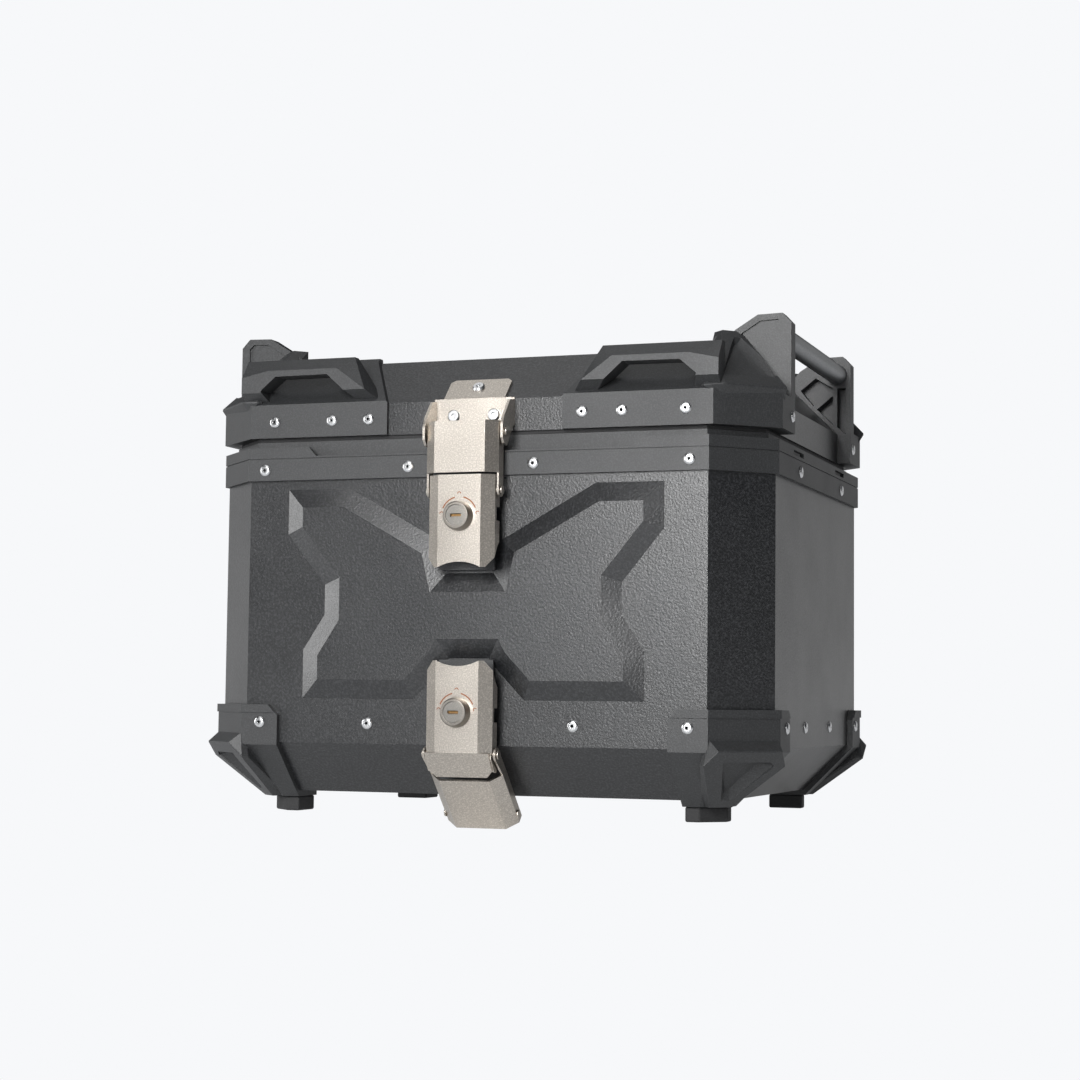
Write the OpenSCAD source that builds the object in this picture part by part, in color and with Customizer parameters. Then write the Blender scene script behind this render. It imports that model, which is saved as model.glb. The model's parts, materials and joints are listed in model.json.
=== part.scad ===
// Motorcycle top case: a riveted sheet-aluminium box with an eight-sided plan, plastic rim and
// corner guards, a rear-hinged lid with side rails, and two keyed draw latches on its front.
// Millimetres. +X is to the right as seen from ahead, the latches face -Y, +Z is up.
// The origin is below the middle of the whole case, level with its lowest point.

/* [Case body] */
// Width of the box over its side walls
body_w = 436; // [420:1:450]
// Depth of the box over its front and rear walls
body_d = 354; // [340:1:370]
// How far each vertical corner is cut off
corner_cut = 39; // [34:1:44]
// Thickness of the aluminium sheet
sheet_t = 1.5; // [1.2:0.1:2]
// Height of the floor's underside
floor_z = 24; // [23:0.5:25]
// Inward run of the sloped lower edge all round
slope_run = 37; // [35:1:38]
// Height of the rim's lower edge
rim_z = 257; // [250:1:264]
// Height of the pressed relief on the front wall
relief_h = 5; // [4:0.5:5]

/* [Lid] */
// Height of the lid above the rim's lower edge
lid_rise = 33; // [32:0.5:35]
// How far the lid is set back from the box walls
lid_inset = 6; // [5.5:0.5:7]
// Height of the lid's upright band
band_h = 24; // [22:1:26]
// Rise and run of the lid's sloping edge
bevel = 36; // [32:1:38]

/* [Guards and rails] */
// Wall of the plastic corner guards
guard_t = 3.5; // [3:0.1:4]
// Height of the horns above the rim's lower edge
horn_rise = 121; // [118:1:123]
// Diameter of each side rail
rail_dia = 16; // [14:0.5:16.5]

/* [Latches] */
// Half the width of a lever over its side walls
lever_hw = 25.5; // [25:0.1:25.8]
// Half the width of a link over its side walls
link_hw = 28; // [27.6:0.1:28.3]
// Sheet thickness of the levers and links
latch_t = 1.5; // [1.2:0.1:1.6]
// How far the lever's face stands in front of the wall
lever_out = 23; // [22:0.5:24]
// Radius of the hinge pins
pin_r = 2; // [1.8:0.1:2.2]

/* [Fasteners] */
// Radius of a rivet head
rivet_r = 4.3; // [3.8:0.1:4.8]

/* [Hidden] */
$fn = 48;

half_w = body_w / 2;
half_d = body_d / 2;
y_shift = 8;                        // brings the middle of the whole case over the origin
fold_z = floor_z + slope_run;
lid_z = rim_z + lid_rise;
lid_fold_z = lid_z + band_h;
lid_top_z = lid_fold_z + bevel;
horn_z = rim_z + horn_rise;
tan_half = tan(22.5);
rim_t = 3;                          // how far the rim stands proud of the walls
rim_band = 16;
rivet_row_z = rim_z + 8;
floor_row_z = fold_z + 15;
lid_row_z = rim_z + 45;
front_x = half_w - corner_cut;      // half the width of the flat front
side_y = half_d - corner_cut;       // half the length of the flat side
hole_r = 2.05;

plate_c = "#3d3f42";
plastic_c = "#2e2f31";
steel_c = "#cfc8bd";
rivet_c = "#d9dadb";
rubber_c = "#1b1b1c";
brass_c = "#8a7d68";

// ---- shared shapes ------------------------------------------------------------------------

// Eight-sided plan outline, moved inward by i
function plan(i) = let(w = half_w - i, d = half_d - i,
    a = front_x - i * tan_half, b = side_y - i * tan_half)
    [[a, -d], [w, -b], [w, b], [a, d], [-a, d], [-w, b], [-w, -b], [-a, -d]];

module prism(i, z0, z1) translate([0, 0, z0]) linear_extrude(z1 - z0) polygon(plan(i));

module ring(i0, i1, z0, z1) difference() {
    prism(i0, z0, z1);
    prism(i1, z0 - 1, z1 + 1);
}

// Tapered eight-sided block between two heights
module taper(i0, z0, i1, z1) hull() {
    prism(i0, z0, z0 + 0.01);
    prism(i1, z1 - 0.01, z1);
}

module mirrored_x() {
    children();
    mirror([1, 0, 0]) children();
}

module mirrored_y() {
    children();
    mirror([0, 1, 0]) children();
}

// Everything is drawn about the box's own middle, then moved into the part frame
module case_frame() translate([0, y_shift, 0]) children();

// Frame on the front wall: y = 0 is the wall's face and -y is out of the case
module front_frame() translate([0, y_shift - half_d, 0]) children();

// Corner frame of the front right corner: x out of the cut face, y along it, z up
module corner_frame() translate([half_w - corner_cut / 2, -(half_d - corner_cut / 2), 0])
    rotate([0, 0, -45]) children();

// Flat plate from an outline in X and Z, standing from y0 to y1
module slab_xz(y0, y1, pts) translate([0, y1, 0]) rotate([90, 0, 0]) linear_extrude(y1 - y0)
    polygon(pts);

// Flat plate from an outline in Y and Z, standing from x0 to x1
module slab_yz(x0, x1, pts) translate([x0, 0, 0]) rotate([90, 0, 90]) linear_extrude(x1 - x0)
    polygon(pts);

module rod_x(x0, x1, r) translate([x0, 0, 0]) rotate([0, 90, 0]) cylinder(r = r, h = x1 - x0);

// Blind rivet along -Y with its head's seat at y = 0: domed head, hollow middle, shank and tail
module rivet(grip = 5) rotate([90, 0, 0]) rotate_extrude() polygon([[0.9, -grip - 2], [2.6, -grip - 2],
    [2.6, -grip - 0.3], [2, -grip], [2, 0], [rivet_r, 0], [rivet_r, 0.5], [rivet_r * 0.82, 1.3],
    [rivet_r * 0.5, 1.6], [1.2, 1.6], [0.9, 0.4]]);

module rivet_hole(deep = 8.5) translate([0, -3, 0]) rotate([-90, 0, 0]) cylinder(r = hole_r, h = deep + 3);

// Places a child at the rivets of one wall; the child points along -Y out of the wall
module on_front(xs, z, out) for (x = xs) translate([x, -half_d - out, z]) children();

module on_side(ys, z, out) for (y = ys) translate([half_w + out, y, z]) rotate([0, 0, 90]) children();

rim_xs = [-166, -49, 49, 166];
rim_ys = [-72, 72];
floor_xs = [-80, 80];
floor_ys = [-42, 42];

module at_rim_rivets() {
    mirrored_y() on_front(rim_xs, rivet_row_z, rim_t) children();
    mirrored_x() on_side(rim_ys, rivet_row_z, rim_t) children();
}

module at_floor_rivets() {
    mirrored_y() on_front(floor_xs, floor_row_z, 0) children();
    mirrored_x() on_side(floor_ys, floor_row_z, 0) children();
}

low_t = guard_t + 1;                // wall of the lower guards
low_guard_x = 166;
low_guard_y = 120;

module at_low_guard_rivets() {
    translate([low_guard_x, -half_d - low_t, floor_row_z]) children();
    translate([half_w + low_t, -low_guard_y, floor_row_z]) rotate([0, 0, 90]) children();
}

module at_all_low_guard_rivets() mirrored_x() mirrored_y() at_low_guard_rivets() children();

// ---- box ------------------------------------------------------------------------------------

// Bow-tie outline half way up the pressed relief, as X and Z about the front wall's middle
relief_z = rim_z - 82;
relief_ramp = 7;                    // half the width of its sloping edge
relief_half = [[24, 4], [30, 30], [98, 68], [140, 68], [140, 44], [109, 6], [109, -21], [126, -47],
    [126, -74], [46, -74], [24, -51], [20, -44]];
relief = concat(relief_half, [for (k = [len(relief_half) - 1 : -1 : 0])
    [-relief_half[k][0], relief_half[k][1]]]);

function unit(v) = v / norm(v);

function left_of(v) = [-v[1], v[0]];

// Clockwise outline moved outward by d, with its corners kept sharp
function grown(pts, d) = let(n = len(pts)) [for (i = [0 : n - 1])
    let(a = left_of(unit(pts[i] - pts[(i + n - 1) % n])), b = left_of(unit(pts[(i + 1) % n] - pts[i])))
    pts[i] + d * (a + b) / (1 + a * b)];

// Solid pressing from just inside the wall's face to its flat top
module relief_block() {
    deep = 0.4;
    foot = grown(relief, relief_ramp * (1 + 2 * deep / relief_h));
    top = grown(relief, -relief_ramp);
    n = len(relief);
    polyhedron(points = concat([for (p = foot) [p[0], deep - half_d, relief_z + p[1]]],
        [for (p = top) [p[0], -half_d - relief_h, relief_z + p[1]]]),
        faces = concat([[for (i = [n - 1 : -1 : 0]) i]], [[for (i = [0 : n - 1]) n + i]],
        [for (i = [0 : n - 1]) [i, (i + 1) % n, n + (i + 1) % n, n + i]]));
}

wall_top_z = rim_z + rim_band - 2;

module flat_wall() difference() {
    slab_xz(-half_d, -half_d + sheet_t, [[-front_x, fold_z], [front_x, fold_z],
        [front_x, wall_top_z], [-front_x, wall_top_z]]);
    at_rim_rivets() rivet_hole();
    at_floor_rivets() rivet_hole();
    at_all_low_guard_rivets() rivet_hole();
}

module front_panel() color(plate_c) case_frame() difference() {
    union() {
        flat_wall();
        relief_block();
    }
    translate([0, sheet_t, 0]) relief_block();
    front_latch_holes();
}

module rear_panel() color(plate_c) case_frame() difference() {
    mirror([0, 1, 0]) flat_wall();
    at_hinges() hinge_body_holes();
}

module side_wall() difference() {
    intersection() {
        ring(0, sheet_t, fold_z, wall_top_z);
        translate([front_x, -half_d, fold_z - 1]) cube([corner_cut + 1, body_d, 400]);
    }
    at_rim_rivets() rivet_hole();
    at_floor_rivets() rivet_hole();
    at_all_low_guard_rivets() rivet_hole();
}

module side_panel_right() color(plate_c) case_frame() side_wall();

module side_panel_left() color(plate_c) case_frame() mirror([1, 0, 0]) side_wall();

module floor_pan() color(plate_c) case_frame() difference() {
    union() {
        taper(slope_run, floor_z, 0, fold_z);
        prism(sheet_t, fold_z - 0.01, fold_z + 24);
    }
    taper(slope_run + sheet_t * tan_half, floor_z + sheet_t, sheet_t * sqrt(2), fold_z + 0.01);
    prism(2 * sheet_t, fold_z, fold_z + 30);
    at_floor_rivets() rivet_hole();
    at_all_low_guard_rivets() rivet_hole();
    latch_holes(lock_low_z, -1);
}

// ---- rim ------------------------------------------------------------------------------------

rim_low_z = rim_z + 18;
rim_high_z = rim_z + 25;
step_x = 124;
step_run = 7;
seal_wall_i = 6;

module rim_frame() color(plastic_c) case_frame() difference() {
    union() {
        ring(-rim_t, 0, rim_z, rim_z + rim_band);
        ring(-rim_t + 0.8, seal_wall_i + 0.5, wall_top_z, rim_low_z);
        ring(seal_wall_i, seal_wall_i + 3, rim_z + 5, rim_z + 30);
        difference() {
            ring(-rim_t, 0, rim_low_z - 1.2, rim_high_z);
            slab_xz(-half_d - 9, half_d + 9, [[-step_x, rim_low_z], [step_x, rim_low_z],
                [step_x + step_run, rim_high_z + 1], [-step_x - step_run, rim_high_z + 1]]);
        }
    }
    at_rim_rivets() rivet_hole();
    mirrored_x() for (y = [-78, 66]) translate([half_w - 1, y - 16, rim_low_z + 1])
        cube([9, 32, 3.5]);
    at_hinges() hinge_body_holes();
}

// ---- lower corner guards ----------------------------------------------------------------------

flange_reach = 27.5;                // how far a guard runs past the corner's folds
low_top_z = fold_z + 28;
elbow_out = 13;
flange_cut = 11;

module low_guard_region() translate([front_x - flange_reach, -half_d - 20, 0])
    cube([corner_cut + flange_reach + 30, corner_cut + flange_reach + 20, low_top_z]);

module low_guard() difference() {
    intersection() {
        union() {
            prism(-low_t, fold_z - 2, low_top_z);
            prism(-low_t - 1, low_top_z - 6, low_top_z);
            taper(slope_run - low_t * tan_half, floor_z - low_t, -low_t, fold_z - low_t * tan_half);
            corner_frame() hull() {
                translate([0, -26, fold_z - 1.5]) cube([elbow_out, 52, 1]);
                translate([0, -28, fold_z + 5.5]) cube([low_t, 56, 1]);
                translate([0, -33, fold_z - 11.5]) cube([elbow_out - 8, 66, 1.5]);
                translate([-slope_run - 2, -9, floor_z - low_t]) cube([slope_run - 26, 18, 3]);
            }
        }
        low_guard_region();
    }
    prism(0, fold_z, 400);
    taper(slope_run, floor_z, 0, fold_z);
    // triangular pocket in the corner's sloping face, with a diagonal rib left standing
    corner_frame() translate([elbow_out, 0, fold_z - 1.5]) rotate([0, 45, 0]) slope_pocket(
        [[-19, -9], [20, -9], [24, -13], [4, -50], [-3, -50]],
        [[-16, -12], [12, -12], [15, -15], [1, -43], [-1, -43]]);
    // upper flange corners cut at a slant
    translate([front_x - flange_reach, -half_d - 10, low_top_z]) rotate([0, 45, 0])
        cube([flange_cut, 30, flange_cut], center = true);
    translate([half_w, -side_y + flange_reach, low_top_z]) rotate([45, 0, 0])
        cube([30, flange_cut, flange_cut], center = true);
    at_low_guard_rivets() rivet_hole();
}

module guard_front_right() color(plastic_c) case_frame() low_guard();

module guard_front_left() color(plastic_c) case_frame() mirror([1, 0, 0]) low_guard();

module guard_rear_right() color(plastic_c) case_frame() mirror([0, 1, 0]) low_guard();

module guard_rear_left() color(plastic_c) case_frame() mirror([1, 0, 0]) mirror([0, 1, 0]) low_guard();

// ---- feet and mounting hooks ------------------------------------------------------------------

foot_h = 11;
foot_top_z = floor_z - low_t;
foot_bottom_z = foot_top_z - foot_h;

module foot() intersection() {
    prism(slope_run + 1, foot_bottom_z, foot_top_z);
    translate([front_x - flange_reach + 1, -half_d, 0]) cube([40, half_d - 112, 60]);
}

module feet() color(rubber_c) case_frame() mirrored_x() mirrored_y() foot();

hook_x = 90;
hook_y = 92;
hook_w = 34;

// A folded hook under the rear of the floor that slides over the edge of a carrier plate
module mount_hooks() color(steel_c) case_frame() mirrored_x() translate([hook_x, hook_y, 0])
    slab_yz(-hook_w / 2, hook_w / 2, [[-20, floor_z], [14, floor_z], [14, floor_z - 6], [30, floor_z - 6],
        [30, floor_z - 8], [12, floor_z - 8], [12, floor_z - 2], [-20, floor_z - 2]]);

module rim_rivets() color(rivet_c) case_frame() at_rim_rivets() rivet(rim_t + sheet_t);

module floor_rivets() color(rivet_c) case_frame() at_floor_rivets() rivet(2 * sheet_t);

module guard_rivets() color(rivet_c) case_frame() at_all_low_guard_rivets() rivet(low_t + 2 * sheet_t);

// ---- latches ----------------------------------------------------------------------------------
// Each latch is drawn about its lock: z runs from the lock towards the link, y = 0 is the wall.

lock_up_z = rim_z - 31;
lock_low_z = rim_z - 172;

module upper_latch() front_frame() translate([0, 0, lock_up_z]) children();

module lower_latch() front_frame() translate([0, 0, lock_low_z]) mirror([0, 0, 1]) children();

free_end = -37;                     // lever's free end
face_flat = 16.5;                   // half the flat of the lever's face
fold_y = -17;                       // where the face's slanted edges meet the side walls
back_y = -8;                        // rear edge of the lever's walls
up_pivot = [-14, 27];               // lever hinge, y and z
up_link = [-12, 19];                // link hinge on the lever
low_pivot = [-9.5, 38];
low_link = [-13, 30];
up_face_end = 30;
low_face_end = 29;
low_tilt = 45;                      // the lower link lies along the box's sloped edge
run_gap = 0.05;                     // running clearance round a pin

link_front_up = 12;                 // link face in front of the link hinge
link_front_low = 9;
link_hook_up = 42.5;                // hook pin beyond the link hinge
link_hook_low = 62;
link_start_up = 12.5;
link_start_low = 18.6;
link_end_up = 50;
link_end_low = (lock_low_z - low_link[1]) * sqrt(2) - link_front_low;
link_flat = 19.5;
ear_r = 5;

// Cross-section of a folded channel open to +y
function channel(hw, flat, front, fold, back, t) = [[-hw, back], [-hw, fold], [-flat, front], [flat, front],
    [hw, fold], [hw, back], [hw - t, back], [hw - t, fold + t * 0.55], [flat - t * 0.4, front + t],
    [-flat + t * 0.4, front + t], [-hw + t, fold + t * 0.55], [-hw + t, back]];

module pin_hole(at, r) translate([-60, at[0], at[1]]) rotate([0, 90, 0]) cylinder(r = r, h = 120);

module lever_walls(pts) for (s = [-1, 1]) translate([s > 0 ? lever_hw - latch_t : -lever_hw, 0, 0])
    slab_yz(0, latch_t, pts);

module lever(face_end, pivot, link_at) difference() {
    union() {
        translate([0, 0, free_end]) linear_extrude(face_end - free_end)
            polygon(channel(lever_hw, face_flat, -lever_out, fold_y, back_y, latch_t));
        children();
    }
    translate([0, 0, free_end - 32]) rotate([90, 0, 0]) cylinder(r = 36, h = 40);
    slab_yz(-40, 40, [[back_y + 1, -17], [-12, -22], [-17, -30], [-21.4, free_end - 1], [back_y + 1, free_end - 1]]);
    translate([-40, -14, -3]) cube([80, 10, 10]);
    translate([0, -10, 0]) rotate([90, 0, 0]) cylinder(r = lock_r, h = 20);
    pin_hole(pivot, pin_r + run_gap);
    pin_hole(link_at, pin_r);
}

lock_r = 9;
plug_r = 7.5;
lock_inner_y = -11;

// Lock body: tapered head in front of the lever, barrel and bore behind
module lock_body() rotate([90, 0, 0]) rotate_extrude() polygon([[plug_r + run_gap, -lock_inner_y],
    [lock_r - 0.05, -lock_inner_y], [lock_r - 0.05, lever_out], [10.9, lever_out], [10.9, lever_out + 1],
    [9.9, lever_out + 6.8], [9.3, lever_out + 7.5], [plug_r + run_gap, lever_out + 7.5]]);

module lock_plug() difference() {
    union() {
        translate([0, lock_inner_y, 0]) rotate([90, 0, 0]) cylinder(r = plug_r, h = lever_out + 7 + lock_inner_y);
        translate([0, lock_inner_y + 1.6, 0]) rotate([90, 0, 0]) cylinder(r = 2.5, h = 2);
    }
    translate([-4.15, -lever_out - 9, -1.05]) cube([8.3, 9, 2.1]);
}

module lock_cam() difference() {
    union() {
        translate([0, -8.9, 0]) rotate([90, 0, 0]) cylinder(r = 5.5, h = 1.6);
        translate([0, -10.5, -2.8]) cube([16, 1.6, 5.6]);
        translate([16, -8.9, 0]) rotate([90, 0, 0]) cylinder(r = 2.8, h = 1.6);
    }
    translate([0, -5, 0]) rotate([90, 0, 0]) cylinder(r = 2.5, h = 10);
}

base_back = -3.5;
base_front = -5.5;
ear_in = 19;
ear_out = 21;
keeper_z = -20;

module base_ears(pts) for (s = [-1, 1]) translate([s > 0 ? ear_in : -ear_out, 0, 0])
    slab_yz(0, ear_out - ear_in, pts);

base_rivet_at = [[-11, -24], [11, -24], [-11, 12], [11, 12]];

module latch_base(z0, z1, pivot, ear_pts) difference() {
    union() {
        translate([-ear_out, base_front, z0]) cube([2 * ear_out, base_back - base_front, z1 - z0]);
        for (z = [-27, 9]) translate([-14, base_back, z]) cube([28, -base_back, 6]);
        translate([-6, -12.6, keeper_z - 1.5]) cube([12, 7.2, 1.5]);
        translate([-6, -12.6, keeper_z - 1.5]) cube([12, 1.2, 7.2]);
        base_ears(ear_pts);
        mirrored_x() translate([0, pivot[0], pivot[1]]) rod_x(ear_in, ear_out, 4);
    }
    pin_hole(pivot, pin_r);
    for (p = base_rivet_at) translate([p[0], 8, p[1]]) rotate([90, 0, 0]) cylinder(r = hole_r, h = 30);
}

module latch_base_upper() color(plastic_c) upper_latch() latch_base(-38, 21, up_pivot,
    [[base_front, 12], [base_front, 21], [-12.6, 30.7], [-17.8, 25.8]]);

module latch_base_lower() color(plastic_c) lower_latch() latch_base(-38, 23, low_pivot,
    [[base_front, 8], [base_front, 23], [-5.6, 38.7], [-13.4, 37.3]]);

module lever_pin(at) translate([0, at[0], at[1]]) rod_x(-lever_hw, lever_hw, pin_r);

module lever_pin_upper() color(steel_c) upper_latch() lever_pin(up_pivot);

module lever_pin_lower() color(steel_c) lower_latch() lever_pin(low_pivot);

module base_rivets(link_end_grip) for (p = base_rivet_at) translate([p[0], base_front, p[1]])
    rivet((p[1] > 0 ? link_end_grip : sheet_t) - base_front);

module latch_rivets() color(rivet_c) {
    upper_latch() base_rivets(sheet_t);
    lower_latch() base_rivets(2 * sheet_t);
}

module latch_holes(z, s) for (p = base_rivet_at) translate([p[0], 8 - half_d, z + s * p[1]])
    rotate([90, 0, 0]) cylinder(r = hole_r, h = 30);

module front_latch_holes() {
    latch_holes(lock_up_z, 1);
    latch_holes(lock_low_z, -1);
}

module lever_upper() color(steel_c) upper_latch() lever(up_face_end, up_pivot, up_link);

lip_end = [-11.2, 46.6];

module lever_lower() color(steel_c) lower_latch() lever(low_face_end, low_pivot, low_link) {
    difference() {
        slab_yz(-24.5, 24.5, [[-lever_out, low_face_end], lip_end, [lip_end[0] + 1.2, lip_end[1] - 0.9],
            [-lever_out + latch_t, low_face_end - 0.4]]);
        for (s = [-1, 1]) translate([s * 24.5, 0, lip_end[1]]) rotate([0, 45, 0]) cube([7, 80, 7], center = true);
    }
    lever_walls([[fold_y, low_face_end - 0.01], [back_y, low_face_end - 0.01], [-5.8, 34], [-5.8, 40.4],
        [-8.6, 43], [-12.4, 42.2], [-19.2, 33], [-19.2, low_face_end - 0.01]]);
}

module lock_body_upper() color(steel_c) upper_latch() lock_body();

module lock_body_lower() color(steel_c) lower_latch() lock_body();

module lock_plug_upper() color(brass_c) upper_latch() lock_plug();

module lock_plug_lower() color(brass_c) lower_latch() lock_plug();

module lock_cam_upper() color(steel_c) upper_latch() lock_cam();

module lock_cam_lower() color(steel_c) lower_latch() lock_cam();

// Stub pins through the walls of a lever and its link, each with a small head outside
module link_pin(at) translate([0, at[0], at[1]]) {
    mirrored_x() {
        rod_x(lever_hw - latch_t - 1, link_hw + 0.3, pin_r);
        rod_x(link_hw + 0.3, link_hw + 1.4, 3.2);
    }
}

module link_pin_upper() color(steel_c) upper_latch() link_pin(up_link);

module link_pin_lower() color(steel_c) lower_latch() link_pin(low_link);

module upper_link_frame() upper_latch() translate([0, up_link[0], up_link[1]]) children();

module lower_link_frame() lower_latch() translate([0, low_link[0], low_link[1]]) rotate([-low_tilt, 0, 0])
    children();

// Link about its hinge: z along the link, -y out of the case
module link(start, end, front, hook, back) difference() {
    union() {
        translate([0, 0, start]) linear_extrude(end - start)
            polygon(channel(link_hw, link_flat, -front, 7 - front, back, latch_t));
        mirrored_x() {
            slab_yz(link_hw - latch_t, link_hw, [[-ear_r, 0], [7 - front, start], [back, start], [ear_r - 0.6, 0]]);
            rod_x(link_hw - latch_t, link_hw, ear_r);
        }
    }
    pin_hole([0, 0], pin_r + run_gap);
    pin_hole([0, hook], pin_r);
}

module link_upper() color(steel_c) upper_link_frame()
    link(link_start_up, link_end_up, link_front_up, link_hook_up, 4);

module link_lower() color(steel_c) lower_link_frame()
    link(link_start_low, link_end_low, link_front_low, link_hook_low, 5);

module hook_pin_upper() color(steel_c) upper_link_frame() translate([0, 0, link_hook_up])
    rod_x(-link_hw - 0.3, link_hw + 0.3, pin_r);

module hook_pin_lower() color(steel_c) lower_link_frame() translate([0, 0, link_hook_low]) {
    rod_x(-link_hw, link_hw, pin_r);
    mirrored_x() rod_x(link_hw, link_hw + 1.2, 3.2);
}

// ---- hinges -------------------------------------------------------------------------------------

hinge_x = 80;
hinge_z = rim_z + 24;
hinge_y = half_d + 10;
hinge_hw = 24;
hinge_mid = 8.5;
knuckle_r = 4.5;
hinge_pin_r = 2.5;
leaf_t = 2.5;
leaf_rivet_x = 16;

module at_hinges() mirrored_x() translate([hinge_x, 0, 0]) children();

module hinge_body_holes() for (x = [-leaf_rivet_x, leaf_rivet_x]) translate([x, half_d + rim_t, rivet_row_z])
    rotate([0, 0, 180]) rivet_hole();

module hinge_axis(x0, x1, r) translate([0, hinge_y, hinge_z]) rod_x(x0, x1, r);

module hinge_leaf_body() difference() {
    union() {
        slab_yz(-hinge_hw, hinge_hw, [[half_d + rim_t, rim_z + 1], [half_d + rim_t + leaf_t, rim_z + 1],
            [half_d + rim_t + leaf_t, rim_z + 16], [hinge_y + 2, hinge_z - 4], [hinge_y - 3, hinge_z + 3],
            [half_d + rim_t, rim_z + 19]]);
        hinge_axis(-hinge_hw, hinge_hw, knuckle_r);
    }
    translate([-hinge_mid - 0.4, half_d + rim_t + leaf_t + 0.5, rim_z + 17]) cube([2 * hinge_mid + 0.8, 30, 30]);
    translate([-hinge_mid - 0.4, half_d - 1, rim_z + 19]) cube([2 * hinge_mid + 0.8, 30, 30]);
    hinge_axis(-50, 50, hinge_pin_r);
    for (x = [-leaf_rivet_x, leaf_rivet_x]) translate([x, half_d + 20, rivet_row_z]) rotate([90, 0, 0])
        cylinder(r = hole_r, h = 40);
}

lid_rear_y = half_d - lid_inset;

module hinge_leaf_lid() difference() {
    union() {
        slab_yz(-hinge_hw, hinge_hw, [[lid_rear_y, lid_z + 3], [lid_rear_y + leaf_t, lid_z + 3],
            [lid_rear_y + leaf_t, lid_z + 20], [lid_rear_y, lid_z + 20]]);
        slab_yz(-hinge_mid, hinge_mid, [[lid_rear_y + 0.5, lid_z + 4], [hinge_y - 1, hinge_z + 0.5],
            [hinge_y + 4, hinge_z + 1.5], [lid_rear_y + leaf_t, lid_z + 12]]);
        hinge_axis(-hinge_mid, hinge_mid, knuckle_r);
    }
    hinge_axis(-50, 50, hinge_pin_r + run_gap);
    for (x = [-leaf_rivet_x, leaf_rivet_x]) translate([x, half_d + 20, lid_z + 12]) rotate([90, 0, 0])
        cylinder(r = hole_r, h = 40);
}

module hinge_leaf_body_right() color(steel_c) case_frame() translate([hinge_x, 0, 0]) hinge_leaf_body();

module hinge_leaf_body_left() color(steel_c) case_frame() translate([-hinge_x, 0, 0]) hinge_leaf_body();

module hinge_leaf_lid_right() color(steel_c) case_frame() translate([hinge_x, 0, 0]) hinge_leaf_lid();

module hinge_leaf_lid_left() color(steel_c) case_frame() translate([-hinge_x, 0, 0]) hinge_leaf_lid();

module hinge_pin() {
    hinge_axis(-hinge_hw, hinge_hw, hinge_pin_r);
    mirrored_x() hinge_axis(hinge_hw, hinge_hw + 1.2, 4);
}

module hinge_pin_right() color(steel_c) case_frame() translate([hinge_x, 0, 0]) hinge_pin();

module hinge_pin_left() color(steel_c) case_frame() translate([-hinge_x, 0, 0]) hinge_pin();

module leaf_rivets(y, z, grip) at_hinges() for (x = [-leaf_rivet_x, leaf_rivet_x]) translate([x, y, z])
    rotate([0, 0, 180]) rivet(grip);

module hinge_rivets_body() color(rivet_c) case_frame()
    leaf_rivets(half_d + rim_t + leaf_t, rivet_row_z, leaf_t + rim_t + sheet_t);

module hinge_rivets_lid() color(rivet_c) case_frame() leaf_rivets(lid_rear_y + leaf_t, lid_z + 12, leaf_t + sheet_t);

// ---- lid ------------------------------------------------------------------------------------------

bevel_i = lid_inset + bevel;
lid_guard_xs = [84, 114, 161.5];
lid_guard_y = 108;
lid_guard_out = lid_inset - guard_t;

module lid_body() {
    prism(lid_inset, lid_z - 20, lid_fold_z);
    taper(lid_inset, lid_fold_z, bevel_i, lid_top_z);
}

rear_guard_xs = [145, 161.5];

module at_lid_side() translate([horn_x, -lid_guard_y, lid_row_z]) rotate([0, 0, 90]) children();

module lid_rivet_row(xs) {
    on_front(xs, lid_row_z, -lid_guard_out) rivet(guard_t + sheet_t);
    at_lid_side() rivet(lid_side_grip);
}

module lid_rivet_holes(xs) {
    on_front(xs, lid_row_z, -lid_guard_out) rivet_hole();
    at_lid_side() rivet_hole(lid_side_grip + 3);
}

module lid_shell() color(plate_c) case_frame() difference() {
    union() {
        prism(lid_inset, lid_z, lid_fold_z);
        taper(lid_inset, lid_fold_z, bevel_i, lid_top_z);
    }
    prism(lid_inset + sheet_t, lid_z - 1, lid_fold_z - 0.62);
    taper(lid_inset + sheet_t, lid_fold_z - 0.63, bevel_i + 0.62, lid_top_z - sheet_t);
    mirrored_x() {
        lid_rivet_holes(lid_guard_xs);
        mirror([0, 1, 0]) lid_rivet_holes(rear_guard_xs);
    }
    strike_holes();
    at_hinges() for (x = [-leaf_rivet_x, leaf_rivet_x]) translate([x, half_d + 20, lid_z + 12])
        rotate([90, 0, 0]) cylinder(r = hole_r, h = 40);
}

module lid_frame() color(plastic_c) case_frame() ring(lid_inset + sheet_t, lid_inset + 9, lid_z, lid_z + 5);

module lid_gasket() color(rubber_c) case_frame() ring(lid_inset + 2, lid_inset + 6, rim_z + 30.4, lid_z);

// ---- lid corner guards ------------------------------------------------------------------------------

skin_top_z = lid_top_z + 3.5;
horn_front = half_d - 65;           // the horn's front face, from the middle of the case
horn_back = half_d - 78;
horn_x = half_w + 5;
lid_side_grip = horn_x - half_w + lid_inset + sheet_t;
rail_x = half_w - 6;
rail_z = horn_z - 15;
grip_x0 = 73;

// Elbow over the lid's cut corner: a ridge above the band and a slope up to a flat top
module lid_elbow() corner_frame() hull() {
    translate([-6, -17, lid_z + 18.5]) cube([3.5, 53, 1]);
    translate([-6, -30, lid_z + 27]) cube([3.5, 20, 1]);
    translate([-4, -16, lid_z + 27.5]) cube([9, 50, 1.5]);
    translate([-12, -22.5, lid_z + 37]) cube([5.5, 30, 1]);
    translate([-56, 9, lid_z + 62]) cube([12, 15, 14]);
}

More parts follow.
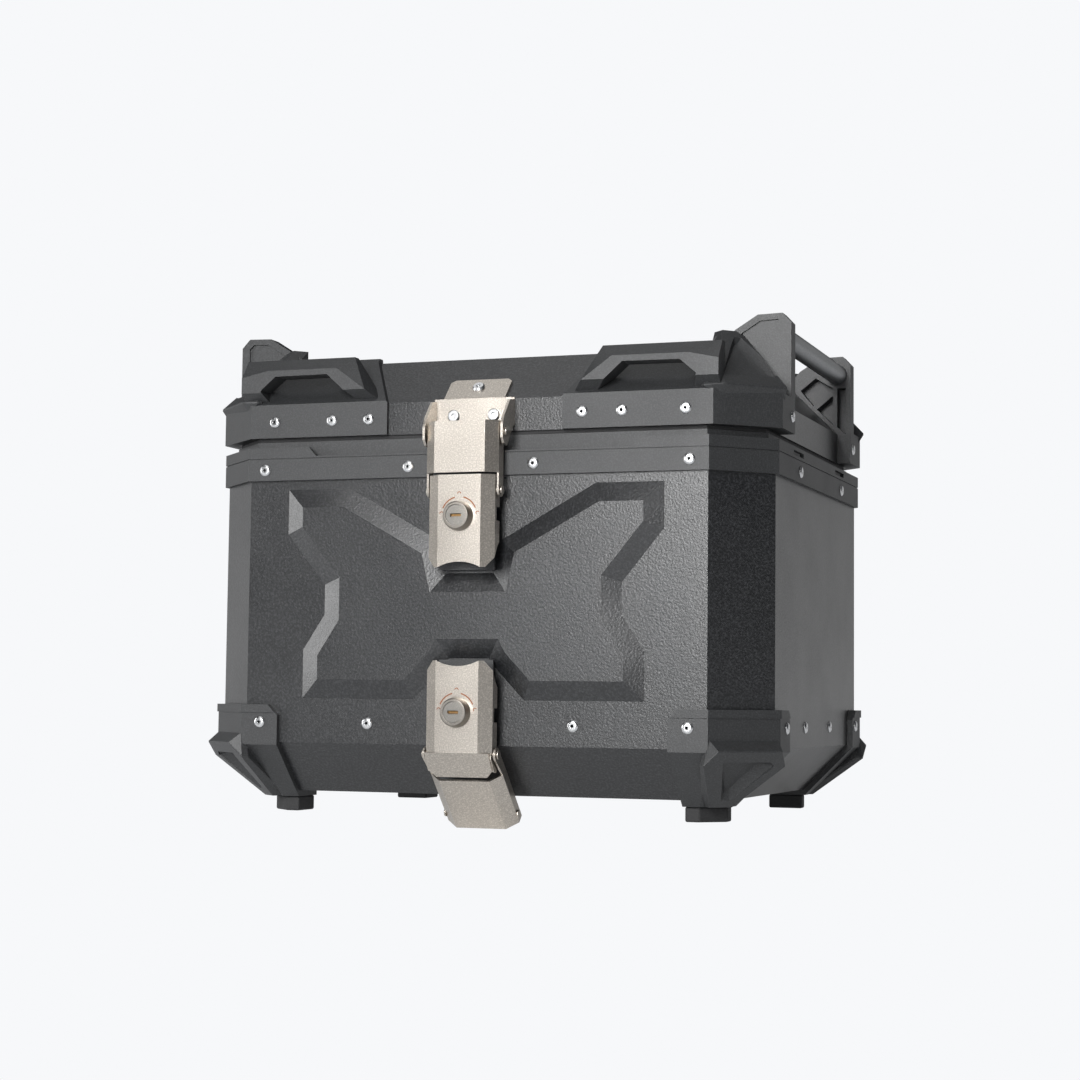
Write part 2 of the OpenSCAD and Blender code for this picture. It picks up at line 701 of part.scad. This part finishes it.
// Drafted pocket in a 45 degree slope: x is out of the slope and z up it
module slope_pocket(rim, floor) hull() {
    slab_yz(0, 3, rim);
    slab_yz(-pocket_d, -pocket_d + 0.1, floor);
}

pocket_d = 5;

module horn() difference() {
    slab_xz(-horn_front, -horn_back, [[horn_x, lid_z + 15], [horn_x, horn_z - 7], [horn_x - 6.5, horn_z],
        [horn_x - 25, horn_z - 0.5], [horn_x - 42, horn_z - 11], [horn_x - 54, skin_top_z],
        [horn_x - 54, lid_top_z - 4], [half_w - lid_inset, lid_z + 15]]);
    // the front face is set back inside a raised outer edge
    slab_xz(-horn_front - 5, -horn_front + 1.5, [[horn_x - 6.5, lid_z + 12], [horn_x - 6.5, horn_z - 8],
        [horn_x - 10, horn_z - 4.5], [horn_x - 23, horn_z - 5], [horn_x - 60, horn_z - 28],
        [horn_x - 60, lid_z + 12]]);
}

// Outline of a guard from ahead: its free edge leans inward up the lid's slope
module guard_region(x0, lean) slab_xz(-half_d - 20, -horn_back, [[x0, lid_z - 1], [x0, lid_fold_z],
    [x0 + lean, lid_top_z], [x0 + lean + 3, horn_z + 5], [horn_x + 9, horn_z + 5], [horn_x + 9, lid_z - 1]]);

module lid_guard_base(x0, lean) difference() {
    intersection() {
        union() {
            translate([0, 0, lid_z]) linear_extrude(band_h + 1.5) polygon([[x0, lid_guard_out - half_d],
                [front_x + 2.6, lid_guard_out - half_d], [horn_x, lid_guard_out - side_y - 1.9],
                [horn_x, -horn_back], [x0, -horn_back]]);
            taper(lid_guard_out, lid_fold_z + 1.49, bevel_i - 1.5, skin_top_z);
            lid_elbow();
            horn();
            children();
        }
        guard_region(x0, lean);
    }
    lid_body();
    difference() {
        prism(bevel_i + 4, lid_top_z - 1, lid_top_z + 60);
        translate([150, -horn_front - 9, 0]) cube([100, 40, 600]);
    }
    corner_frame() translate([5, 0, lid_z + 29]) rotate([0, -45, 0]) slope_pocket(
        [[-15, 10], [29, 12], [37, 17], [22, 61], [15, 61]], [[-12, 13], [22, 13], [28, 16], [17, 55], [15, 55]]);
    // ribbed cells in the back of the horn
    for (cell = horn_cells) slab_xz(-horn_back - 9, -horn_back + 1,
        [for (p = cell) [half_w + p[0], lid_fold_z + p[1]]]);
    translate([rail_x, -horn_back - 8, rail_z]) rotate([-90, 0, 0]) cylinder(r = rail_dia / 2, h = 20);
}

horn_cells = [[[-36.5, 37], [-24, 47], [-9.5, 38], [-26, 24]], [[-23, 21], [-9.5, 32], [-9.5, 8]],
    [[-6, 38], [1, 38], [1, 0], [-6, 6]]];

// Grip bar over a finger opening
module grip() difference() {
    hull() {
        slab_xz(-half_d - 4, -half_d - 2, [[grip_x0 + 12, lid_fold_z + 10], [grip_x0 + 35, lid_fold_z + 26.6],
            [165, lid_fold_z + 26.6], [187, lid_fold_z + 22], [187, lid_fold_z + 10]]);
        slab_xz(-half_d + 7, -half_d + 14, [[grip_x0 + 3, lid_fold_z + 2], [grip_x0 + 25, lid_top_z],
            [187, lid_top_z], [187, lid_fold_z + 2]]);
    }
    slab_xz(-half_d - 9, -half_d + 40, [[grip_x0 + 22, lid_fold_z - 2], [grip_x0 + 19.7, lid_fold_z + 1.4],
        [grip_x0 + 43, lid_fold_z + 22.3], [158.6, lid_fold_z + 22], [171, lid_fold_z + 11.5],
        [165, lid_fold_z - 2]]);
}

module lid_guard_front() difference() {
    lid_guard_base(69, 23) grip();
    lid_rivet_holes(lid_guard_xs);
}

module lid_guard_rear() difference() {
    lid_guard_base(130, 18);
    lid_rivet_holes(rear_guard_xs);
}

module lid_guard_front_right() color(plastic_c) case_frame() lid_guard_front();

module lid_guard_front_left() color(plastic_c) case_frame() mirror([1, 0, 0]) lid_guard_front();

module lid_guard_rear_right() color(plastic_c) case_frame() mirror([0, 1, 0]) lid_guard_rear();

module lid_guard_rear_left() color(plastic_c) case_frame() mirror([1, 0, 0]) mirror([0, 1, 0]) lid_guard_rear();

module rail() translate([rail_x, -horn_back - 8, rail_z]) rotate([-90, 0, 0]) difference() {
    cylinder(r = rail_dia / 2, h = 2 * (horn_back + 8));
    translate([0, 0, -1]) cylinder(r = rail_dia / 2 - 2, h = 2 * (horn_back + 8) + 2);
}

module rail_right() color("silver") case_frame() rail();

module rail_left() color("silver") case_frame() mirror([1, 0, 0]) rail();

module lid_guard_rivets() color(rivet_c) case_frame() mirrored_x() {
    lid_rivet_row(lid_guard_xs);
    mirror([0, 1, 0]) lid_rivet_row(rear_guard_xs);
}

// ---- strike on the lid --------------------------------------------------------------------------------

strike_t = 2;
strike_y = lid_inset - strike_t;
strike_screw_x = 15.7;
ear_x = link_hw + 1.4;
ear_t = 1.8;
hook_z = lock_up_z + up_link[1] + link_hook_up;
tab_len = 22;
screw_z = rim_z + 45;

// Frame on the lid's front bevel: z up the slope, -y out of it
module bevel_frame() translate([0, -half_d + lid_inset, lid_fold_z]) rotate([-45, 0, 0]) children();

module strike_plate() color(steel_c) case_frame() difference() {
    union() {
        translate([-ear_x - ear_t, -half_d + strike_y, rim_z + 37]) cube([2 * (ear_x + ear_t), strike_t,
            band_h - 3.2]);
        bevel_frame() intersection() {
            translate([-24, -strike_t, -0.8]) cube([48, strike_t, tab_len + 0.8]);
            translate([0, 5, tab_len - 27]) rotate([90, 0, 0]) cylinder(r = 34, h = 10);
        }
        mirrored_x() translate([ear_x, -half_d, 0]) slab_yz(0, ear_t, [[lid_inset, rim_z + 37],
            [lid_inset, lid_fold_z - 0.8], [-4, lid_fold_z - 2], [-16, hook_z + 11], [-19, hook_z + 4],
            [-18.4, hook_z - 5], [-15, hook_z - 9], [-9, hook_z - 10], [-5, hook_z - 4], [strike_y - 0.2, rim_z + 37]]);
    }
    mirrored_x() translate([ear_x - 1, -half_d + up_link[0], hook_z]) rod_x(0, ear_t + 2, pin_r);
    strike_holes();
}

module strike_holes() {
    for (x = [-strike_screw_x, strike_screw_x]) translate([x, -half_d + 20, screw_z]) rotate([90, 0, 0])
        cylinder(r = hole_r, h = 40);
    bevel_frame() translate([0, 20, 12]) rotate([90, 0, 0]) cylinder(r = hole_r, h = 40);
}

// Pan-head screw with a six-sided socket; its seat is at y = 0 and it points along -y
module pan_screw(len) difference() {
    rotate([90, 0, 0]) rotate_extrude() polygon([[0, -len], [2, -len], [2, 0], [4.7, 0], [4.7, 1], [3.8, 2.2], [0, 2.2]]);
    translate([0, -0.9, 0]) rotate([90, 0, 0]) cylinder(r = 1.8, h = 4, $fn = 6);
}

module strike_screws() color(rivet_c) case_frame() {
    for (x = [-strike_screw_x, strike_screw_x]) translate([x, -half_d + strike_y, screw_z]) pan_screw(7);
    bevel_frame() translate([0, -strike_t, 12]) pan_screw(7);
}

// Rivets in the strike's ears that the link's hook pin bears on
module strike_pivots() color(steel_c) case_frame() mirrored_x()
    translate([ear_x, -half_d + up_link[0], hook_z]) {
        rod_x(-0.4, ear_t, pin_r);
        rod_x(ear_t, ear_t + 1.3, 3.4);
    }

front_panel();
rear_panel();
side_panel_right();
side_panel_left();
floor_pan();
rim_frame();
guard_front_right();
guard_front_left();
guard_rear_right();
guard_rear_left();
feet();
mount_hooks();
rim_rivets();
floor_rivets();
guard_rivets();
latch_base_upper();
latch_base_lower();
lever_pin_upper();
lever_pin_lower();
latch_rivets();
lever_upper();
lock_body_upper();
link_pin_upper();
lock_plug_upper();
lock_cam_upper();
link_upper();
hook_pin_upper();
lever_lower();
lock_body_lower();
link_pin_lower();
lock_plug_lower();
lock_cam_lower();
link_lower();
hook_pin_lower();
hinge_leaf_body_right();
hinge_leaf_body_left();
hinge_pin_right();
hinge_pin_left();
hinge_rivets_body();
lid_shell();
lid_frame();
lid_gasket();
lid_guard_front_right();
lid_guard_front_left();
lid_guard_rear_right();
lid_guard_rear_left();
rail_right();
rail_left();
lid_guard_rivets();
strike_plate();
strike_screws();
strike_pivots();
hinge_leaf_lid_right();
hinge_leaf_lid_left();
hinge_rivets_lid();
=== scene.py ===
import bpy
import bmesh
import json
import math
from mathutils import Matrix, Vector

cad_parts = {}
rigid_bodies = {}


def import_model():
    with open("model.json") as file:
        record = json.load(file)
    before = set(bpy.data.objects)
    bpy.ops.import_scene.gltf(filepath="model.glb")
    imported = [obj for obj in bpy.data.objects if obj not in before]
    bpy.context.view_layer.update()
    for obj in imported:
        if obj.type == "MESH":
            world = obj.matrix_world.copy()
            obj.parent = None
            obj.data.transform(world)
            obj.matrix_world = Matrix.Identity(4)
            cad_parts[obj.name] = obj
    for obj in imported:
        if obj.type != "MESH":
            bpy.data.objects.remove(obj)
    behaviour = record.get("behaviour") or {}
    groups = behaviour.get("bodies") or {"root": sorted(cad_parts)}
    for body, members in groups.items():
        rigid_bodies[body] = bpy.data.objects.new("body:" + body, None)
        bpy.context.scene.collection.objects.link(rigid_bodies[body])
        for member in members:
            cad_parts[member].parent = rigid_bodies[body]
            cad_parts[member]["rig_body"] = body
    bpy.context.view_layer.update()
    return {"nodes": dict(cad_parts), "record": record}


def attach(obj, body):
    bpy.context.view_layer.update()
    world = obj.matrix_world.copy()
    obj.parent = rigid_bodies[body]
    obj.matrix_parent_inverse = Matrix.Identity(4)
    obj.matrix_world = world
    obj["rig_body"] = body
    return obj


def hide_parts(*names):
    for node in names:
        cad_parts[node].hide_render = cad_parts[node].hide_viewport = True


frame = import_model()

mm = 0.001
nodes = frame["nodes"]
bodyOf = {n: o["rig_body"] for n, o in nodes.items()}
wallY = -0.169        # the front wall's outer face
lockHeights = {"upper": 0.226, "lower": 0.085}


# shader node groups

def newGroup(name, inputs, outputs):
    group = bpy.data.node_groups.new(name, "ShaderNodeTree")
    for label, kind, value in inputs:
        socket = group.interface.new_socket(name=label, in_out="INPUT", socket_type=kind)
        if value is not None:
            socket.default_value = value
    for label, kind in outputs:
        group.interface.new_socket(name=label, in_out="OUTPUT", socket_type=kind)
    return group, group.nodes.new("NodeGroupInput"), group.nodes.new("NodeGroupOutput")


def addNode(tree, kind, settings=None, values=None):
    node = tree.nodes.new(kind)
    for key, value in (settings or {}).items():
        setattr(node, key, value)
    for key, value in (values or {}).items():
        node.inputs[key].default_value = value
    return node


def makeGrainGroup():
    # fine bumps of a moulded or sprayed surface: height, and light and dark specks
    group, gin, gout = newGroup("surfaceGrain",
        [("Scale", "NodeSocketFloat", 900.0), ("Specks", "NodeSocketFloat", 0.5)],
        [("Height", "NodeSocketFloat"), ("Speck", "NodeSocketFloat"), ("Cloud", "NodeSocketFloat")])
    coord = addNode(group, "ShaderNodeTexCoord")
    fine = addNode(group, "ShaderNodeTexNoise", values={"Detail": 3.0, "Roughness": 0.6})
    cells = addNode(group, "ShaderNodeTexVoronoi", {"feature": "SMOOTH_F1"}, {"Smoothness": 0.6})
    cloud = addNode(group, "ShaderNodeTexNoise", values={"Scale": 14.0, "Detail": 5.0, "Roughness": 0.55})
    mixUp = addNode(group, "ShaderNodeMath", {"operation": "MULTIPLY_ADD"}, {1: 0.45})
    ramp = addNode(group, "ShaderNodeMapRange", values={"From Min": 0.45, "From Max": 0.72})
    speck = addNode(group, "ShaderNodeMath", {"operation": "MULTIPLY"})
    link = group.links.new
    for tex in (fine, cells, cloud):
        link(coord.outputs["Object"], tex.inputs["Vector"])
    link(gin.outputs["Scale"], fine.inputs["Scale"])
    link(gin.outputs["Scale"], cells.inputs["Scale"])
    link(cells.outputs["Distance"], mixUp.inputs[0])
    link(fine.outputs["Fac"], mixUp.inputs[2])
    link(fine.outputs["Fac"], ramp.inputs["Value"])
    link(ramp.outputs["Result"], speck.inputs[0])
    link(gin.outputs["Specks"], speck.inputs[1])
    link(mixUp.outputs[0], gout.inputs["Height"])
    link(speck.outputs[0], gout.inputs["Speck"])
    link(cloud.outputs["Fac"], gout.inputs["Cloud"])
    return group


grainGroup = makeGrainGroup()


def makeMaterial(name, spec):
    mat = bpy.data.materials.new(name)
    mat.use_nodes = True
    tree = mat.node_tree
    link = tree.links.new
    shader = tree.nodes["Principled BSDF"]
    for key, value in spec.get("shader", {}).items():
        shader.inputs[key].default_value = value
    grain = addNode(tree, "ShaderNodeGroup", {"node_tree": grainGroup},
        {"Scale": spec["grainScale"], "Specks": spec["specks"]})
    colour = addNode(tree, "ShaderNodeMix", {"data_type": "RGBA"})
    colour.inputs["A"].default_value = spec["base"]
    colour.inputs["B"].default_value = spec["speckColour"]
    tint = addNode(tree, "ShaderNodeMix", {"data_type": "RGBA", "blend_type": "MULTIPLY"})
    tint.inputs["Factor"].default_value = spec.get("cloud", 0.25)
    cloudRamp = addNode(tree, "ShaderNodeMapRange",
        values={"From Min": 0.3, "From Max": 0.7, "To Min": 0.6, "To Max": 1.25})
    link(grain.outputs["Speck"], colour.inputs["Factor"])
    link(colour.outputs["Result"], tint.inputs["A"])
    link(grain.outputs["Cloud"], cloudRamp.inputs["Value"])
    link(cloudRamp.outputs["Result"], tint.inputs["B"])
    link(tint.outputs["Result"], shader.inputs["Base Color"])
    rough = addNode(tree, "ShaderNodeMapRange",
        values={"From Min": 0.25, "From Max": 0.75, "To Min": spec["rough"][0], "To Max": spec["rough"][1]})
    link(grain.outputs["Cloud"], rough.inputs["Value"])
    link(rough.outputs["Result"], shader.inputs["Roughness"])
    bump = addNode(tree, "ShaderNodeBump", values={"Strength": spec["bump"], "Distance": spec["bumpHeight"]})
    link(grain.outputs["Height"], bump.inputs["Height"])
    link(bump.outputs["Normal"], shader.inputs["Normal"])
    return mat


def toLinear(value):
    # from a 0-255 display value
    v = value / 255
    return v / 12.92 if v <= 0.04045 else ((v + 0.055) / 1.055) ** 2.4


def rgb(r, g, b):
    return (toLinear(r), toLinear(g), toLinear(b), 1.0)


materialSpecs = {
    "coatedSheet": {"base": rgb(18, 19, 21), "speckColour": rgb(60, 61, 63),
        "specks": 0.7, "grainScale": 620.0, "cloud": 0.10, "rough": (0.30, 0.37),
        "bump": 0.6, "bumpHeight": 0.00022, "shader": {"Specular IOR Level": 0.8}},
    "guardPlastic": {"base": rgb(34, 35, 36), "speckColour": rgb(66, 67, 69),
        "specks": 0.6, "grainScale": 900.0, "cloud": 0.12, "rough": (0.46, 0.56),
        "bump": 0.45, "bumpHeight": 0.00016, "shader": {"Specular IOR Level": 0.68}},
    "latchSteel": {"base": rgb(182, 175, 166), "speckColour": rgb(226, 219, 209),
        "specks": 0.9, "grainScale": 1000.0, "cloud": 0.10, "rough": (0.26, 0.34),
        "bump": 0.40, "bumpHeight": 0.00012, "shader": {"Metallic": 1.0}},
    "railMetal": {"base": rgb(116, 118, 120), "speckColour": rgb(165, 167, 169),
        "specks": 0.5, "grainScale": 900.0, "cloud": 0.12, "rough": (0.34, 0.42),
        "bump": 0.2, "bumpHeight": 0.00008, "shader": {"Metallic": 1.0}},
    "fastenerMetal": {"base": rgb(222, 223, 224), "speckColour": rgb(150, 150, 150),
        "specks": 0.4, "grainScale": 1400.0, "cloud": 0.15, "rough": (0.22, 0.34),
        "bump": 0.2, "bumpHeight": 0.00006, "shader": {"Metallic": 1.0}},
    "hingeSteel": {"base": rgb(38, 39, 41), "speckColour": rgb(64, 65, 67),
        "specks": 0.5, "grainScale": 900.0, "cloud": 0.15, "rough": (0.38, 0.5),
        "bump": 0.3, "bumpHeight": 0.00010, "shader": {}},
    "lockMetal": {"base": rgb(140, 137, 132), "speckColour": rgb(172, 168, 160),
        "specks": 0.5, "grainScale": 1600.0, "cloud": 0.2, "rough": (0.28, 0.40),
        "bump": 0.2, "bumpHeight": 0.00005, "shader": {"Metallic": 1.0}},
    "lockSteel": {"base": rgb(146, 141, 134), "speckColour": rgb(180, 174, 165),
        "specks": 0.5, "grainScale": 1500.0, "cloud": 0.2, "rough": (0.26, 0.38),
        "bump": 0.2, "bumpHeight": 0.00005, "shader": {"Metallic": 1.0}},
    "softRubber": {"base": rgb(32, 32, 33), "speckColour": rgb(48, 48, 49),
        "specks": 0.6, "grainScale": 900.0, "cloud": 0.15, "rough": (0.62, 0.74),
        "bump": 0.4, "bumpHeight": 0.00014, "shader": {}},
    "slotBrass": {"base": rgb(150, 118, 78), "speckColour": rgb(96, 72, 44),
        "specks": 0.6, "grainScale": 1800.0, "cloud": 0.3, "rough": (0.3, 0.45),
        "bump": 0.3, "bumpHeight": 0.00006, "shader": {"Metallic": 1.0}},
    "printInk": {"base": rgb(150, 84, 34), "speckColour": rgb(104, 56, 24),
        "specks": 0.8, "grainScale": 1800.0, "cloud": 0.3, "rough": (0.45, 0.6),
        "bump": 0.1, "bumpHeight": 0.00002, "shader": {}},
}
mats = {name: makeMaterial(name, spec) for name, spec in materialSpecs.items()}
matOfSlot = {"coated_sheet": "coatedSheet", "guard_plastic": "guardPlastic", "latch_metal": "latchSteel",
    "rail_metal": "railMetal", "fastener_metal": "fastenerMetal", "hinge_metal": "hingeSteel",
    "lock_metal": "lockMetal", "soft_rubber": "softRubber"}
slotOf = {s["node"]: s["material_slot"] for s in frame["record"]["subparts"]}
print("materials", len(mats))


# pieces made from the CAD nodes

def newPiece(name, mesh, body):
    piece = bpy.data.objects.new(name, mesh)
    bpy.context.scene.collection.objects.link(piece)
    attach(piece, body)
    return piece


def softCopy(node, spec):
    # a copy of a CAD node, with flat faces merged and edges rounded where its spec says so
    mesh = nodes[node].data.copy()
    mesh.materials.clear()
    bm = bmesh.new()
    bm.from_mesh(mesh)
    bmesh.ops.remove_doubles(bm, verts=bm.verts, dist=1e-6)
    mergeAngle = math.radians(spec.get("merge", 0.6))
    if mergeAngle > 0:      # closed rings keep their triangles, which hold their holes open
        bmesh.ops.dissolve_limit(bm, angle_limit=mergeAngle, verts=bm.verts, edges=bm.edges)
    bmesh.ops.recalc_face_normals(bm, faces=bm.faces)
    for face in bm.faces:
        face.smooth = True
    sharpAngle = math.radians(spec.get("sharp", 24))
    for edge in bm.edges:
        edge.smooth = len(edge.link_faces) == 2 and edge.calc_face_angle() < sharpAngle
    bm.to_mesh(mesh)
    bm.free()
    piece = newPiece("v_" + node, mesh, bodyOf[node])
    mesh.materials.append(mats[spec.get("mat") or matOfSlot[slotOf[node]]])
    if spec["width"] > 0:
        mod = piece.modifiers.new("Bevel", "BEVEL")
        mod.width = spec["width"] * mm
        mod.segments = spec.get("segments", 3)
        mod.limit_method = "ANGLE"
        mod.angle_limit = math.radians(spec.get("angle", 28))
        mod.miter_outer = "MITER_ARC"
        mod.use_clamp_overlap = True
        mod.mark_sharp = False
    flat = piece.modifiers.new("Flat", "WEIGHTED_NORMAL")
    flat.mode = "FACE_AREA"
    flat.weight = 100
    flat.keep_sharp = spec["width"] <= 0
    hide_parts(node)
    return piece


edgeSpecs = {
    "panel": {"width": 0.9, "angle": 12},
    "sheet": {"width": 0.5},
    "rim": {"width": 0, "merge": 0},
    "guard": {"width": 1.0, "angle": 32, "merge": 2.5, "sharp": 32},
    "lowGuard": {"width": 0, "merge": 2.5, "sharp": 12},
    "feet": {"width": 1.4},
    "rail": {"width": 0.4, "angle": 50},
    "steel": {"width": 0.35},
    "small": {"width": 0.2, "segments": 2},
    "fastener": {"width": 0.12, "segments": 2, "angle": 35},
    "lock": {"width": 0.25, "angle": 35, "mat": "lockSteel"},
}


def edgeKind(node):
    if "rivets" in node or "screws" in node:
        return "fastener"
    if node.startswith("guard_"):
        return "lowGuard"
    if "guard_" in node:
        return "guard"
    if node in ("rim_frame", "lid_frame", "lid_gasket"):
        return "rim"
    if node.startswith(("lever_u", "lever_l", "link_u", "link_l", "strike_plate")):
        return "steel"
    if node.startswith("lock_body"):
        return "lock"
    for start, kind in (("front_panel", "panel"), ("feet", "feet"), ("rail", "rail")):
        if node.startswith(start):
            return kind
    return "sheet" if slotOf[node] == "coated_sheet" else "small"


for node in nodes:
    softCopy(node, edgeSpecs[edgeKind(node)])
print("pieces", len(nodes))


# printed lock marks on the levers

# millimetres from the lock's middle, and degrees; "face" is how far the lever stands before the wall
mark = {"radius": 13.8, "stroke": 0.9, "from": 24, "to": 76, "steps": 24, "face": 23.06,
    "padlocks": ((0, 14.6, 0), (-13.6, 0.4, 0), (13.6, 0.4, 40))}     # across, up, turn of the shackle
padlock = {"width": 3.8, "height": 3.0, "stroke": 0.6, "shackle": (1.0, 1.6), "shackleUp": 1.4,
    "lean": 0.02, "steps": 12}


def ringPart(bm, centre, r0, r1, start, sweep, steps):
    # flat strip bent round a centre in the lever's face, angles in degrees from +X upwards
    x, z = centre
    rot = Matrix.Rotation(-math.radians(start), 4, "Y")
    ends = [bm.verts.new(Vector((x, 0, z)) + rot @ Vector((r, 0, 0))) for r in (r0, r1)]
    edge = bm.edges.new(ends)
    bmesh.ops.spin(bm, geom=ends + [edge], cent=(x, 0, z), axis=(0, -1, 0), angle=math.radians(sweep),
        steps=steps, use_merge=False, use_duplicate=False)


def makeLockMark(side, lockZ):
    bm = bmesh.new()
    r0, r1 = mark["radius"] - mark["stroke"] / 2, mark["radius"] + mark["stroke"] / 2
    sweep = mark["to"] - mark["from"]
    for start in (mark["from"], 180 - mark["to"]):
        ringPart(bm, (0, 0), r0, r1, start, sweep, mark["steps"])
    for x, z, turn in mark["padlocks"]:
        body = bmesh.ops.create_grid(bm, x_segments=1, y_segments=1, size=0.5)["verts"]
        faces = list({face for vert in body for face in vert.link_faces})
        for vert in body:
            vert.co = Vector((x + vert.co.x * padlock["width"], 0, z + vert.co.y * padlock["height"]))
        bmesh.ops.inset_individual(bm, faces=faces, thickness=padlock["stroke"])
        bmesh.ops.delete(bm, geom=faces, context="FACES_ONLY")
        top = (x + turn * padlock["lean"], z + padlock["shackleUp"])
        ringPart(bm, top, *padlock["shackle"], turn, 180, padlock["steps"])
    bmesh.ops.recalc_face_normals(bm, faces=bm.faces)
    for vert in bm.verts:
        vert.co = Vector((vert.co.x * mm, wallY - mark["face"] * mm, vert.co.z * mm + lockZ))
    for face in bm.faces:
        face.normal_update()
        if face.normal.y > 0:
            face.normal_flip()
    mesh = bpy.data.meshes.new("lockMark_" + side)
    bm.to_mesh(mesh)
    bm.free()
    mesh.materials.append(mats["printInk"])
    newPiece("lockMark_" + side, mesh, side + "_lever")


# brass shutters inside the key slots

shutter = {"size": (8.2, 1.0, 2.0), "face": 27.4, "edge": 0.15}


def makeShutter(side, lockZ):
    bm = bmesh.new()
    bmesh.ops.create_cube(bm, size=1.0)
    for vert in bm.verts:
        vert.co = Vector([vert.co[k] * shutter["size"][k] * mm for k in range(3)])
        vert.co += Vector((0, wallY - shutter["face"] * mm, lockZ))
    bmesh.ops.bevel(bm, geom=bm.edges, offset=shutter["edge"] * mm, affect="EDGES", segments=2,
        profile=0.5, material=-1)
    mesh = bpy.data.meshes.new("keyShutter_" + side)
    bm.to_mesh(mesh)
    bm.free()
    mesh.materials.append(mats["slotBrass"])
    newPiece("keyShutter_" + side, mesh, side + "_lock")


for side, lockZ in lockHeights.items():
    makeLockMark(side, lockZ)
    makeShutter(side, lockZ)
print("lock marks and shutters")


# stage, light and camera

backColour = rgb(247, 248, 250)
# glow: the floor's own emission, which lights the case from below like a lamp
tableTop = {"reach": 30, "drop": 0.0006, "paint": rgb(196, 198, 201), "roughness": 0.9, "glow": 0.3}


def makeStage():
    # pale floor: the backdrop's own tone to the camera; to the light, matt paint that also glows, a soft
    # light from below that brightens the case's underside
    bm = bmesh.new()
    bmesh.ops.create_grid(bm, x_segments=1, y_segments=1, size=tableTop["reach"])
    for vert in bm.verts:
        vert.co.z = -tableTop["drop"]
    mesh = bpy.data.meshes.new("floor")
    bm.to_mesh(mesh)
    bm.free()
    floor = bpy.data.objects.new("floor", mesh)
    bpy.context.scene.collection.objects.link(floor)
    mat = bpy.data.materials.new("paleFloor")
    mat.use_nodes = True
    tree = mat.node_tree
    shader = tree.nodes["Principled BSDF"]
    shader.inputs["Base Color"].default_value = tableTop["paint"]
    shader.inputs["Roughness"].default_value = tableTop["roughness"]
    shader.inputs["Emission Color"].default_value = (1, 1, 1, 1)
    shader.inputs["Emission Strength"].default_value = tableTop["glow"]
    plain = addNode(tree, "ShaderNodeEmission", values={"Color": backColour, "Strength": 1.0})
    path = addNode(tree, "ShaderNodeLightPath")
    mix = addNode(tree, "ShaderNodeMixShader")
    tree.links.new(path.outputs["Is Camera Ray"], mix.inputs["Fac"])
    tree.links.new(shader.outputs[0], mix.inputs[1])
    tree.links.new(plain.outputs[0], mix.inputs[2])
    tree.links.new(mix.outputs[0], tree.nodes["Material Output"].inputs["Surface"])
    mesh.materials.append(mat)


def makeWorld():
    world = bpy.data.worlds.new("studio")
    bpy.context.scene.world = world
    world.use_nodes = True
    tree = world.node_tree
    link = tree.links.new
    seen = tree.nodes["Background"]
    seen.inputs["Color"].default_value = backColour
    glow = addNode(tree, "ShaderNodeBackground", values={"Color": (0.9, 0.93, 1.0, 1), "Strength": 0.05})
    path = addNode(tree, "ShaderNodeLightPath")
    mix = addNode(tree, "ShaderNodeMixShader")
    link(path.outputs["Is Camera Ray"], mix.inputs["Fac"])
    link(glow.outputs[0], mix.inputs[1])
    link(seen.outputs[0], mix.inputs[2])
    link(mix.outputs[0], tree.nodes["World Output"].inputs["Surface"])


def softBox(name, place, aim, size, power, tint=(1, 1, 1)):
    light = bpy.data.lights.new(name, "AREA")
    light.shape = "RECTANGLE"
    light.size = size[0]
    light.size_y = size[1]
    light.energy = power
    light.color = tint
    lamp = bpy.data.objects.new(name, light)
    bpy.context.scene.collection.objects.link(lamp)
    lamp.location = place
    lamp.rotation_euler = (Vector(aim) - Vector(place)).to_track_quat("-Z", "Y").to_euler()
    return lamp


view = {"yaw": 19.79, "pitch": 4.248, "roll": 0.632, "place": (0.5844, -1.6433, 0.093),
    "sensor": 36, "lens": 72.69667, "nearest": 0.05}


def makeCamera():
    yaw, pitch, roll = (math.radians(view[key]) for key in ("yaw", "pitch", "roll"))
    ahead = Vector((-math.sin(yaw) * math.cos(pitch), math.cos(yaw) * math.cos(pitch), math.sin(pitch)))
    right = ahead.cross(Vector((0, 0, 1))).normalized()
    up = right.cross(ahead)
    right, up = right * math.cos(roll) + up * math.sin(roll), up * math.cos(roll) - right * math.sin(roll)
    data = bpy.data.cameras.new("camera")
    data.sensor_width = view["sensor"]
    data.lens = view["lens"]
    data.clip_start = view["nearest"]
    camera = bpy.data.objects.new("camera", data)
    bpy.context.scene.collection.objects.link(camera)
    turn = Matrix((right, up, -ahead)).transposed().to_4x4()
    camera.matrix_world = Matrix.Translation(view["place"]) @ turn
    bpy.context.scene.camera = camera


makeStage()
makeWorld()
middle = (0, 0, 0.19)
lamps = {
    "leftPanel": {"place": (-2.5, 0.9, 0.6), "size": (1.6, 1.8), "power": 6},
    "left": {"place": (-2.4, -1.25, 0.45), "size": (0.9, 1.6), "power": 30},
    "front": {"place": (0.0, -2.6, 1.0), "size": (0.9, 1.5), "power": 74},
    "top": {"place": (0.0, -0.3, 2.4), "size": (2.4, 2.0), "power": 14},
    "rearRight": {"place": (0.95, 2.4, 0.5), "size": (1.8, 1.6), "power": 4.2},
    "frontRight": {"place": (2.0, -1.9, 0.7), "size": (0.7, 1.2), "power": 0.8},
}
for name, lamp in lamps.items():
    softBox(name, lamp["place"], middle, lamp["size"], lamp["power"])
makeCamera()
scene = bpy.context.scene
scene.view_settings.view_transform = "Standard"
scene.view_settings.look = "None"
print("stage and lights")
